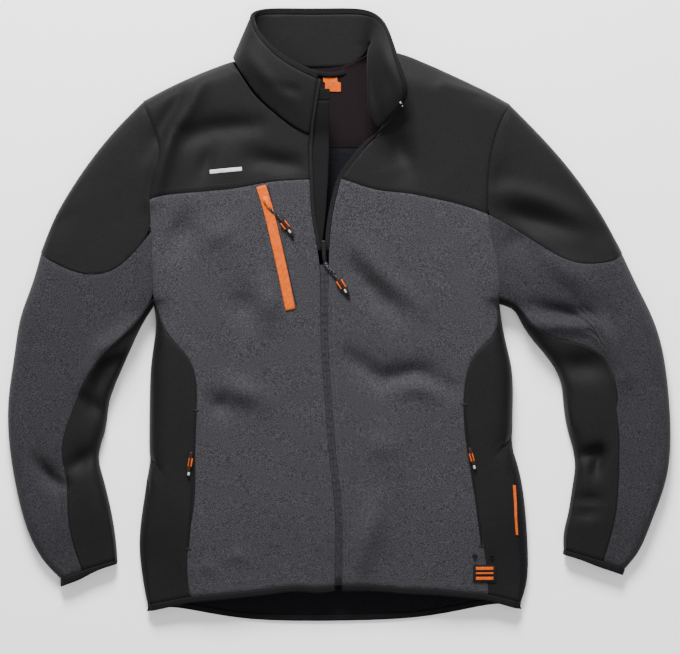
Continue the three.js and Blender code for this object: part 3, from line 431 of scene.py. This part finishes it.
for side in ("right", "left"):
    cloth(f"front_lower_{side}", grey_jersey)
    cloth(f"sleeve_main_{side}", shaded_sleeve_jersey)
    for part in ("front_yoke", "side_panel", "sleeve_cap", "sleeve_under"):
        cloth(f"{part}_{side}", black_softshell)
    for part in ("cuff_binding", "hem_binding_front"):
        cloth(f"{part}_{side}", bound_edge)
cloth("back_panel", grey_jersey, dark_fleece)
cloth("back_yoke", black_softshell, brown_fleece, swell=0.6)
cloth("collar", black_softshell, swell=0.6)
cloth("collar_binding", bound_edge, swell=0.6)
for part in ("hem_binding_back", "storm_flap", "chin_guard", "hanger_loop"):
    cloth(part, bound_edge)
print(len(cloths), "cloth pieces", sum(len(p.data.polygons) for p in cloths), "faces")

# %% [markdown]
# ## Where the surface is
# Stitches and prints lie on the cloth. A ray dropped from above gives the cloth's height and slope
# at any place, so what is added sits on it from every side.

# %% The surface
bpy.context.view_layer.update()
# where each ray starts, well above the jacket, in metres
RAY_TOP = 0.3
DOWN = Vector((0, 0, -1))
corners, polygons = [], []
for piece in cloths:
    start = len(corners)
    corners += [v.co.copy() for v in piece.data.vertices]
    polygons += [[start + i for i in p.vertices] for p in piece.data.polygons]
surface_tree = BVHTree.FromPolygons(corners, polygons)


def surface_at(x, y):
    """The top of the cloth at a place in millimetres, and its normal, or None off the jacket."""
    hit, normal, _, _ = surface_tree.ray_cast(Vector((x * MM, y * MM, RAY_TOP)), DOWN)
    return (hit, normal if normal.z > 0 else -normal) if hit else None


print("surface faces", len(polygons))

# %% [markdown]
# ## Curves in plan
# Seams are smooth curves through a few places, in the same millimetres as the model before it was
# centred. A curve moved to its own left or right gives the row of stitches beside a seam.

# %% Curves
def smooth(points, step=1.0):
    """A smooth curve through the points, as places about one step apart."""
    ends = [points[0]] + list(points) + [points[-1]]
    out = []
    for a, b, c, d in zip(ends, ends[1:], ends[2:], ends[3:]):
        count = max(2, int(math.dist(b, c) / step))
        for i in range(count):
            t = i / count
            out.append(tuple(
                0.5 * (2 * q + (r - p) * t + (2 * p - 5 * q + 4 * r - s) * t * t
                       + (3 * q - p - 3 * r + s) * t ** 3)
                for p, q, r, s in zip(a, b, c, d)))
    out.append(tuple(points[-1]))
    return np.array(out)


def beside(line, gap):
    """The line moved to its left by a gap, or to its right if the gap is below zero."""
    along = np.gradient(line, axis=0)
    along /= np.linalg.norm(along, axis=1, keepdims=True)
    return line + gap * np.stack([-along[:, 1], along[:, 0]], axis=1)


def places(line, pitch):
    """Places a pitch apart along a line, with the direction at each."""
    steps = np.r_[0, np.cumsum(np.linalg.norm(np.diff(line, axis=0), axis=1))]
    at = np.arange(pitch / 2, steps[-1], pitch)
    spots = np.stack([np.interp(at, steps, line[:, k]) for k in (0, 1)], axis=1)
    ahead = np.stack([np.interp(at + 0.2, steps, line[:, k]) for k in (0, 1)], axis=1)
    turn = ahead - spots
    turn /= np.maximum(np.linalg.norm(turn, axis=1, keepdims=True), 1e-6)
    return spots, turn


print("curve of", len(smooth([(0, 0), (10, 5), (20, 0)])), "places")

# %% [markdown]
# ## One small bar, copied
# A stitch and a turn of the zip's coil are both a short rounded bar. It is modelled once from a
# cylinder with its ends bevelled, then copied to each place, along the row for a stitch and across
# it for a turn.

# %% The small bar
bpy.ops.object.select_all(action="DESELECT")
bpy.ops.mesh.primitive_cylinder_add(vertices=6, radius=0.5, depth=1, rotation=(0, math.pi / 2, 0))
bar = bpy.context.object
bpy.ops.object.transform_apply(location=True, rotation=True, scale=True)
soft_ends = bar.modifiers.new("soft_ends", "BEVEL")
soft_ends.width = 0.16
soft_ends.segments = 1
bpy.ops.object.modifier_apply(modifier="soft_ends")
bar_places = np.array([tuple(v.co) for v in bar.data.vertices])
bar_faces = [tuple(p.vertices) for p in bar.data.polygons]
bpy.data.objects.remove(bar)
# how far a bar's middle is above the cloth, in millimetres
BAR_LIFT = 0.15
print("bar", len(bar_places), "points")


def finish_piece(piece, finish, body="garment"):
    """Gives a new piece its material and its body."""
    piece.data.materials.clear()
    piece.data.materials.append(finish)
    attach(piece, body)
    return piece


def new_mesh(name, points, faces):
    """A smooth-shaded object from points and faces."""
    data = bpy.data.meshes.new(name)
    data.from_pydata(points, [], faces)
    piece = bpy.data.objects.new(name, data)
    bpy.context.collection.objects.link(piece)
    alone(piece)
    bpy.ops.object.shade_smooth()
    return piece


def bars(name, line, pitch, size, finish, slot):
    """A row of bars along a line on the cloth. size is length, width and height in millimetres."""
    points, faces = [], []
    spots, turns = places(line, pitch)
    for (x, y), (dx, dy) in zip(spots, turns):
        found = surface_at(x, y)
        if found is None:
            continue
        spot, up = found
        ahead = Vector((dx, dy, 0))
        ahead = (ahead - up * ahead.dot(up)).normalized()
        side = up.cross(ahead)
        turn = np.array([ahead * size[0], side * size[1], up * size[2]]) * MM
        faces += [[len(points) + i for i in f] for f in bar_faces]
        points += [tuple(np.array(spot + up * BAR_LIFT * MM) + p @ turn) for p in bar_places]
    return finish_piece(new_mesh(name, points, faces), finish)


# %% [markdown]
# ## Topstitching
# A second row of thread holds a seam's allowance flat, 4 to 7 mm from the seam. Real stitches are
# about 3 mm long. The front hems have a row too, above the binding.

# %% Topstitching
# name, side the row lies on and how far, thread, then the seam's places
SEAMS = [
    ("yoke_right", 7, "black", [(-246, 149), (-230, 154), (-200, 157), (-135, 163), (-87, 172), (-40, 175)]),
    ("yoke_left", -7, "black", [(194, 130), (158, 142), (123, 150), (88, 157), (49, 161), (5, 176)]),
    ("cap_right", 6, "black", [(-385, 77), (-372, 67), (-349, 55), (-312, 46), (-282, 62), (-255, 91)]),
    ("cap_left", -6, "black", [(366, 76), (355, 68), (333, 62), (300, 65), (258, 91), (213, 122)]),
    ("armhole_right", 5, "black", [(-256, 277), (-244, 251), (-234, 226), (-236, 196), (-244, 172),
                                   (-246, 152)]),
    ("armhole_left", -5, "black", [(224, 273), (213, 257), (204, 237), (196, 200), (193.5, 165), (194, 134)]),
    ("side_right", -5, "black", [(-227, -21), (-193, -59), (-185, -84), (-187, -174), (-187, -240),
                                 (-195, -290), (-198, -333), (-195, -355)]),
    ("side_left", 5, "black", [(207, -22), (175, -53), (164, -85), (163, -149), (172, -209),
                               (186, -289), (192, -324), (194, -352)]),
    ("under_right", 4, "black", [(-292, -39), (-324, -74), (-346, -124), (-362, -175), (-354, -215),
                                 (-353, -266), (-347, -300), (-338, -325)]),
    ("under_left", -4, "black", [(275, -31), (318, -39), (347, -57), (362, -95), (365, -170),
                                 (361, -262), (348, -312)]),
    ("front_right", -7, "grey", [(-38, 172), (-36, 131), (-30, 96), (-25, 64), (-23, -34), (-19, -101),
                                 (-15, -155), (-10, -209), (-4.5, -262), (-5, -345)]),
    ("front_left", 7, "grey", [(3, 172), (-6, 140), (-11, 107), (-13, 64), (-14, -34), (-10, -101),
                               (-6, -155), (-1, -209), (4.5, -262), (4, -345)]),
    ("hem_right", 13, "grey", [(-192, -366), (-103, -359), (-50, -353), (-30, -356), (-9, -353)]),
    ("hem_left", -13, "grey", [(193, -365), (137, -359), (79, -356), (48, -353), (8, -353)]),
]
# the distance from stitch to stitch, and a stitch's length, width and height, in millimetres
STITCH_PITCH = 3.4
STITCH = (2.6, 0.7, 0.5)
THREADS = {"black": (thread, "black_softshell"), "grey": (grey_thread, "grey_knit")}
for name, gap, colour, seam in SEAMS:
    row = beside(smooth(seam), gap) + np.array(SHIFT)
    bars(f"stitch_{name}", row, STITCH_PITCH, STITCH, *THREADS[colour])
print(len(SEAMS), "rows of stitches")

# %% [markdown]
# ## Zip teeth
# The closed part of the main zip shows a nylon coil, with a turn about each 2 mm. Its middle line
# is measured from the chain's own solid, so the coil follows it.

# %% Zip teeth
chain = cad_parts["zip_chain"]
chain_places = np.array([tuple(v.co) for v in chain.data.vertices]) / MM
# a turn's pitch, width and height in millimetres, and the share of the pitch that it fills
TURN_PITCH, TURN_WIDTH, TURN_HEIGHT = 2.0, 4.6, 1.1
TURN_FILL = 0.72
# how far from its ends the coil stops, and how near a place the chain's slope is taken
END_GAP, SLOPE_REACH = 4, 14
chain_low, chain_high = chain_places[:, 1].min(), chain_places[:, 1].max()
chain_tree = BVHTree.FromPolygons(
    [v.co for v in chain.data.vertices], [tuple(p.vertices) for p in chain.data.polygons])
middle = []
for y in np.linspace(chain_low + END_GAP, chain_high - END_GAP, 60):
    near = chain_places[np.abs(chain_places[:, 1] - y) < SLOPE_REACH]
    slope = np.polyfit(near[:, 1], near[:, 0], 1) if len(near) > 3 else (0, near[:, 0].mean())
    middle.append((np.polyval(slope, y), y))
middle = np.array(middle)


def coil(name, line, pitch, width, tree):
    """A row of turns across a line, on a solid's own top."""
    points, faces = [], []
    spots, turns = places(line, pitch)
    for (x, y), (dx, dy) in zip(spots, turns):
        hit, _, _, _ = tree.ray_cast(Vector((x * MM, y * MM, RAY_TOP)), DOWN)
        if hit is None:
            continue
        side = Vector((-dy, dx, 0))
        turn = np.array([side * width, Vector((dx, dy, 0)) * pitch * TURN_FILL,
                         Vector((0, 0, 1)) * TURN_HEIGHT]) * MM
        faces += [[len(points) + i for i in f] for f in bar_faces]
        points += [tuple(np.array(hit) + p @ turn) for p in bar_places]
    print(name, len(points) // len(bar_places), "turns")
    return new_mesh(name, points, faces)


finish_piece(coil("main_coil", middle, TURN_PITCH, TURN_WIDTH, chain_tree), charcoal_coil)

# %% [markdown]
# ## Thin strips on the cloth
# The chest print, the badge, the pocket mouths, the bar tacks, two dark lines of painted shadow
# along the chest zip's edges, the main zip's top stop and two seam tapes are thin strips. Each one
# is a grid, bent along its line, given a wall by Solidify and then bevelled. The seam tapes lie low
# under the joins of collar, yoke and binding, where the floor would show through otherwise. The
# neck tape is real nape tape along its start, and further on a dark band of painted shadow where
# the collar meets the yoke's fleece.

# %% Strips
# the height that a strip takes where no cloth is below it, in metres
OVER_A_GAP = 0.02
# the length of a strip's grid cells, in millimetres, and the share of its wall that is bevelled
CELL = 2.5
EDGE_SHARE = 0.3


def strip(name, line, width, thick, finish, lift=0.25, level=None):
    """A thin strip along a line, which lies on the cloth, or at a level in millimetres."""
    line = np.array(line, float)
    length = np.linalg.norm(np.diff(line, axis=0), axis=1).sum()
    count = max(3, int(length / CELL))
    bpy.ops.object.select_all(action="DESELECT")
    bpy.ops.mesh.primitive_grid_add(x_subdivisions=count, y_subdivisions=3, size=1)
    piece = bpy.context.object
    piece.name = name
    steps = np.r_[0, np.cumsum(np.linalg.norm(np.diff(line, axis=0), axis=1))]
    for v in piece.data.vertices:
        at = (v.co.x + 0.5) * steps[-1]
        x, y = (np.interp(at, steps, line[:, k]) for k in (0, 1))
        ahead = [np.interp(min(at + 0.5, steps[-1]), steps, line[:, k])
                 - np.interp(max(at - 0.5, 0), steps, line[:, k]) for k in (0, 1)]
        size = math.hypot(*ahead)
        x -= ahead[1] / size * v.co.y * width
        y += ahead[0] / size * v.co.y * width
        found = surface_at(x, y)
        z = found[0].z if found else OVER_A_GAP
        if level is not None:
            z = level * MM
        v.co = (x * MM, y * MM, z + lift * MM)
    alone(piece)
    wall = piece.modifiers.new("wall", "SOLIDIFY")
    wall.thickness = thick * MM
    wall.offset = 1
    bpy.ops.object.modifier_apply(modifier="wall")
    soft = piece.modifiers.new("soft", "BEVEL")
    soft.width = min(thick, width) * EDGE_SHARE * MM
    soft.segments = 2
    bpy.ops.object.modifier_apply(modifier="soft")
    bpy.ops.object.shade_smooth()
    return finish_piece(piece, finish)


def pixels(*points):
    """A line through places of the photograph."""
    return [at_pixel(*p) for p in points]


strip("chest_print", pixels((210, 172), (242, 169)), 5.0, 0.3, silver_print)
strip("badge_back", pixels((473.3, 573.8), (496.2, 573.8)), 23.0, 0.6, black_zip, 0.9)
for i, (row, wide) in enumerate(((568.6, 4.0), (573.4, 2.2), (578.6, 4.0))):
    strip(f"badge_bar_{i}", pixels((476.0, row), (493.6, row)), wide, 0.6, orange_tape, 2.0)
POCKETS = {
    "right": [(196, 410), (194, 456), (191, 505), (188, 549)],
    "left": [(464, 404), (469, 450), (476, 500), (482, 546)],
}
for side, mouth in POCKETS.items():
    strip(f"pocket_mouth_{side}", pixels(*mouth), 2.4, 0.6, bound_edge)
for side, mouth in POCKETS.items():
    for end, (px, py) in (("top", mouth[0]), ("end", mouth[-1])):
        strip(f"tack_{side}_{end}", pixels((px - 3, py), (px + 3, py)), 1.8, 0.7, thread)
chest_line = np.array(pixels((263.5, 187), (292.5, 307)))
# two dark lines of painted shadow beside the chest zip, in the black thread finish
for name, gap in (("a", 5.9), ("b", -5.9)):
    strip(f"chest_zip_painted_shadow_{name}", beside(chest_line, gap), 1.3, 0.5, thread, 0.1)
strip("top_stop", pixels((399.4, 103.2), (402.6, 106.8)), 2.2, 1.2, silver_metal, 0.3)
# seam tapes, at a level of 1 mm
# the neck tape is real nape tape along its start, and a dark band of painted shadow where it runs on between
# collar and yoke
strip("neck_tape_and_painted_shadow", pixels((300, 71), (322, 70.5), (340, 68), (353, 62), (363, 54), (370, 44)),
      9.0, 0.6, bound_edge, 0.0, 1.0)
strip("collar_seam_tape", pixels((259, 20), (266, 14.5), (300, 13.5), (340, 13.5), (364, 14.5), (374, 20)),
      7.0, 0.6, bound_edge, 0.0, 1.0)
print("strips ready")

# %% [markdown]
# ## Ends of the pulls
# Each moulded pull end has two orange ribs and a small plated tip, and those of the main and chest
# zips have a dark tail too. Each is a short cylinder with its rims bevelled.

# %% Ends of the pulls
# the share of an end's radius that its rims are bevelled by
RIM_SHARE = 0.45


def end_piece(name, node, px, py, rise, length, radius, angle, finish, slot, body):
    """A short rounded piece at a pixel, a rise above the middle of a node."""
    x, y = at_pixel(px, py)
    low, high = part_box(node)
    bpy.ops.object.select_all(action="DESELECT")
    bpy.ops.mesh.primitive_cylinder_add(
        vertices=12, radius=radius * MM, depth=length * MM,
        rotation=(0, math.pi / 2, math.radians(angle)),
        location=(x * MM, y * MM, (low[2] + high[2]) / 2 + rise * MM))
    piece = bpy.context.object
    piece.name = name
    bpy.ops.object.transform_apply(location=True, rotation=True, scale=True)
    rims = piece.modifiers.new("rims", "BEVEL")
    rims.width = radius * RIM_SHARE * MM
    rims.segments = 2
    bpy.ops.object.modifier_apply(modifier="rims")
    bpy.ops.object.shade_smooth()
    return finish_piece(piece, finish, body)


FINISHES = {
    "rib": (orange_tape, "orange_grip"), "tip": (silver_metal, "dark_metal"), "tail": (bound_edge, "binding")}
# name, kind, place in pixels, rise, length, radius and angle, for each pull by its node and body
ENDS = {
    ("zip_pull_grip", "main_pull"): [
        ("main_rib_a", "rib", 338.9, 285.4, 1.5, 11.5, 0.95, -58),
        ("main_rib_b", "rib", 343.4, 283.3, 1.5, 11.5, 0.95, -58),
        ("main_tip", "tip", 345.4, 291.0, 0.6, 4.8, 2.0, -58),
        ("main_tail", "tail", 348.2, 294.6, 0.2, 4.6, 1.8, -58)],
    ("chest_pull_grip", "chest_pull"): [
        ("chest_rib_a", "rib", 283.2, 226.6, 1.4, 10.0, 0.9, -52),
        ("chest_rib_b", "rib", 287.2, 223.8, 1.4, 10.0, 0.9, -52),
        ("chest_tip", "tip", 289.8, 231.6, 0.6, 4.4, 1.9, -55),
        ("chest_tail", "tail", 292.4, 235.8, 0.2, 4.4, 1.8, -60)],
    ("hand_pull_right", "garment"): [
        ("hand_rib_right_a", "rib", 191.9, 462.4, 1.2, 11.0, 0.9, 81),
        ("hand_rib_right_b", "rib", 189.0, 461.8, 1.2, 11.0, 0.9, 81),
        ("hand_tip_right", "tip", 188.9, 473.6, 0.6, 4.6, 1.9, 81)],
    ("hand_pull_left", "garment"): [
        ("hand_rib_left_a", "rib", 472.8, 456.6, 1.2, 11.0, 0.9, -74),
        ("hand_rib_left_b", "rib", 470.3, 457.4, 1.2, 11.0, 0.9, -74),
        ("hand_tip_left", "tip", 474.2, 467.0, 0.6, 4.6, 1.9, -74)],
}
for (node, body), rows in ENDS.items():
    for name, kind, *sizes in rows:
        end_piece(name, node, *sizes, *FINISHES[kind], body)
print(sum(len(rows) for rows in ENDS.values()), "ends on", len(ENDS), "pulls")

# %% [markdown]
# ## Trim that keeps its solid's shape
# The zip's chain and box, the sliders, pull tabs, cords, grips, eyelets, side tab and neck label
# already have the right shape, so they keep it and get their finish. The zip tapes are cloth, so
# they are softened like the rest.

# %% Trim
for node, finish in (
        ("zip_chain", charcoal_coil), ("zip_box", black_zip), ("zip_slider", dark_zinc),
        ("zip_pull_tab", dark_zinc), ("zip_pull_cord", braid), ("zip_pull_grip", dark_rubber),
        ("chest_slider", orange_zinc), ("chest_pull_tab", orange_zinc), ("chest_pull_cord", braid),
        ("chest_pull_grip", dark_rubber), ("hand_pull_right", dark_rubber),
        ("hand_pull_left", dark_rubber), ("eyelet_front", dark_zinc), ("eyelet_side", dark_zinc),
        ("side_tab", orange_tape), ("neck_label", orange_tape)):
    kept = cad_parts[node]
    kept.data.materials.clear()
    kept.data.materials.append(finish)
cloth("zip_tape_right", black_zip)
cloth("zip_tape_left", black_zip)
cloth("chest_zip_tape", orange_tape)
print("trim finished")

# %% [markdown]

# %% [markdown]
# ## Floor and light
# The photograph is a product shot on white, lit softly from above the collar, so the shadow falls
# below the hem and cuffs.

# %% Floor and light
bpy.ops.object.select_all(action="DESELECT")
bpy.ops.mesh.primitive_plane_add(size=8, location=(0, 0, 0))
floor = bpy.context.object
floor.name = "floor"
floor_paint = new_material("matt_white_floor", {"Roughness": 0.9, "Base Color": linear("#f8f8f8")})
floor.data.materials.append(floor_paint[0])


def soft_light(name, place, size, power):
    """A square studio light that faces the jacket."""
    data = bpy.data.lights.new(name, "AREA")
    data.size = size
    data.energy = power
    light = bpy.data.objects.new(name, data)
    light.location = place
    light.rotation_euler = (Vector((0, 0, 0)) - Vector(place)).to_track_quat("-Z", "Y").to_euler()
    bpy.context.collection.objects.link(light)


soft_light("key", (-0.3, 2.6, 1.8), 1.1, 330)
soft_light("fill", (0.4, -1.0, 3.4), 2.6, 60)
world = bpy.data.worlds.new("studio")
bpy.context.scene.world = world
world.use_nodes = True
background = world.node_tree.nodes["Background"]
background.inputs["Color"].default_value = linear("#f4f5f7")
background.inputs["Strength"].default_value = 0.55
print("floor, two lights and a pale surround")
